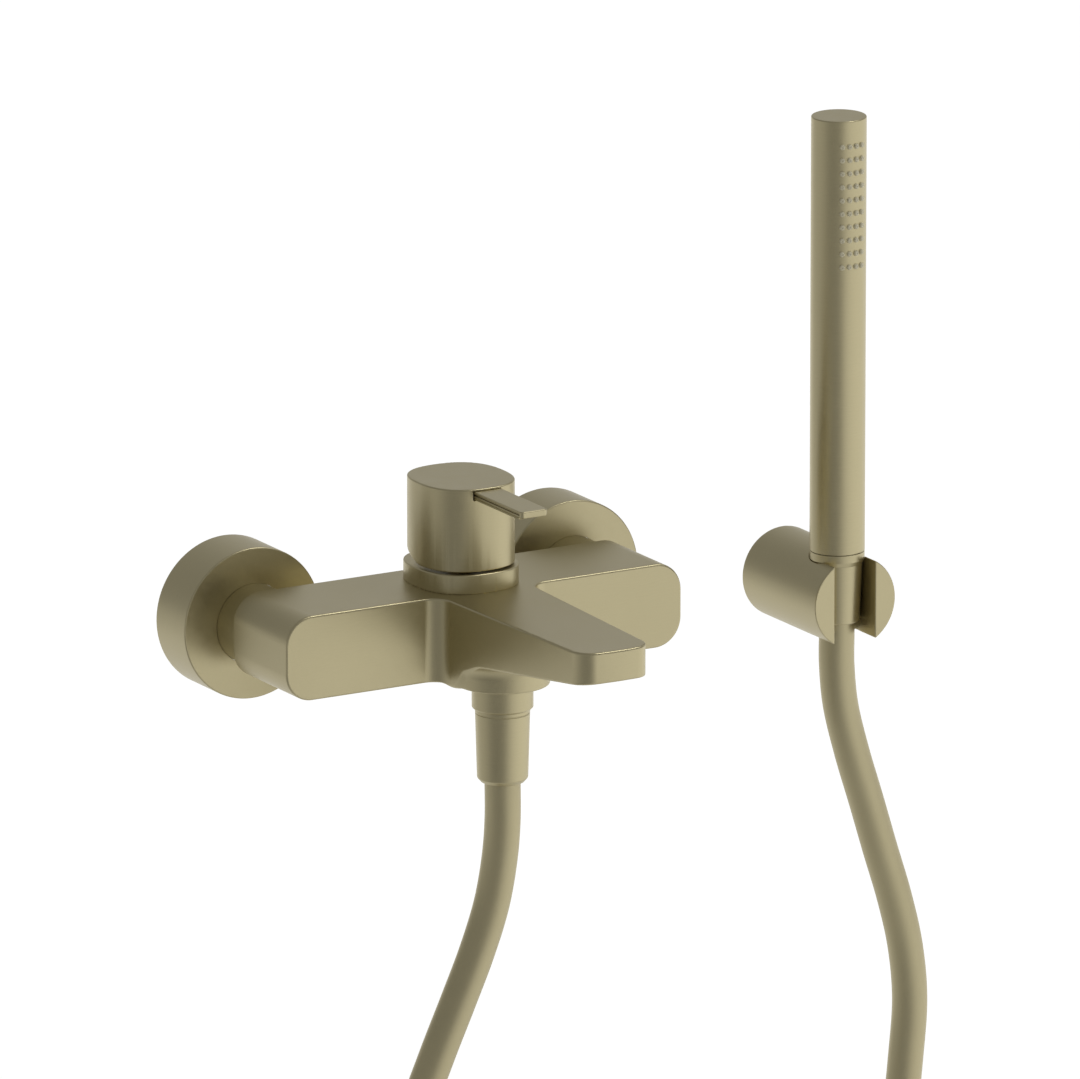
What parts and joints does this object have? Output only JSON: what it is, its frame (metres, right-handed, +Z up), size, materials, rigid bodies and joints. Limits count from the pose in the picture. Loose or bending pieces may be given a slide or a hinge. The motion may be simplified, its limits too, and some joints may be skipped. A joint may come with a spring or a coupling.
{
  "type": "wall mounted bath mixer",
  "caption": "Wall mounted single lever bath mixer with flat tapering spout, round wall covers, smooth hose, stick handset and slotted wall bracket, in satin brass.",
  "frame": {"origin": "on the wall plane, midway between the two inlets, at the height of their axes", "axes": "+Z up, -Y out of the wall into the room, +X to the right for someone facing the wall"},
  "size_m": [0.3394, 0.2128, 0.7872],
  "materials": {
    "satin_finish": "satin champagne brass, fine horizontal brushing",
    "raw_brass": "machined",
    "steel": "bright",
    "rubber": "matte",
    "plastic": "moulded",
    "ceramic": "lapped ceramic",
    "silicone": "matte silicone in the body's tint",
    "hose_skin": "satin champagne skin"
  },
  "bodies": {
    "mixer": {"mixer_body": "satin_finish", "escutcheon_left": "satin_finish", "escutcheon_right": "satin_finish", "eccentric_union_left": "raw_brass", "eccentric_union_right": "raw_brass", "union_washer_left": "rubber", "union_washer_right": "rubber", "inlet_tail_left": "raw_brass", "inlet_tail_right": "raw_brass", "union_nut_left": "satin_finish", "union_nut_right": "satin_finish", "check_valve_left": "plastic", "check_valve_right": "plastic", "cartridge_seal": "rubber", "cartridge_base": "plastic", "ceramic_disc_fixed": "ceramic", "cartridge_housing": "plastic", "cartridge_lock_ring": "raw_brass", "cartridge_dome": "satin_finish", "cartridge_collar": "satin_finish", "diverter_seat": "rubber", "diverter_spring": "steel", "outlet_nipple": "raw_brass", "outlet_check_valve": "plastic", "outlet_washer": "rubber", "hose_ferrule_mixer": "raw_brass", "hose_coupling_ring": "satin_finish", "hose_cone_sleeve": "satin_finish", "shower_hose": "hose_skin", "bracket_body": "satin_finish", "bracket_hub": "raw_brass", "bracket_wall_screw": "steel", "bracket_grub_screw": "steel"},
    "turntable": {"lever_turntable": "plastic", "spindle_pin": "steel"},
    "lever": {"handle_cap": "satin_finish", "lever_blade": "satin_finish", "lever_spindle": "raw_brass", "handle_grub_screw": "steel", "handle_screw_plug": "plastic"},
    "moving_disc": {"ceramic_disc_moving": "ceramic", "disc_carrier": "plastic"},
    "diverter": {"diverter_ring": "satin_finish", "diverter_rod": "steel", "diverter_disc": "rubber", "aerator_housing": "plastic", "aerator_insert": "plastic"},
    "hose_end": {"hose_ferrule_handset": "raw_brass"},
    "handset": {"handset_tube": "satin_finish", "nozzle_strip": "silicone", "handset_waterway": "plastic", "handset_base": "satin_finish", "handset_o_ring": "rubber", "handset_washer": "rubber", "handset_cone_nut": "satin_finish"}
  },
  "joints": [
    {"name": "temperature_turn", "type": "hinge", "parent": "mixer", "child": "turntable", "pos_m": [0, -0.0636, 0.0145], "axis": [0, 0, 1], "range_deg": [-50, 50]},
    {"name": "lever_lift", "type": "hinge", "parent": "turntable", "child": "lever", "pos_m": [0, -0.0636, 0.0145], "axis": [-1, 0, 0], "range_deg": [0, 17]},
    {"name": "disc_shift", "type": "slide", "parent": "turntable", "child": "moving_disc", "axis": [0, -1, 0], "range_m": [0, 0.003]},
    {"name": "diverter_pull", "type": "slide", "parent": "mixer", "child": "diverter", "axis": [0, 0, -1], "range_m": [0, 0.004], "stiffness_N_per_m": 60, "springref_m": -0.012, "deforming": ["diverter_spring"]},
    {"name": "handset_lift_off", "type": "slide", "parent": "mixer", "child": "hose_end", "axis": [0, 0, 1], "range_m": [0, 0.05]},
    {"name": "handset_swivel", "type": "hinge", "parent": "hose_end", "child": "handset", "pos_m": [0.1901, -0.0443, 0], "axis": [0, 0, 1], "continuous": true}
  ],
  "couplings": [
    {"joint": "disc_shift", "follows": "lever_lift", "m_per_rad": 0.0069}
  ]
}
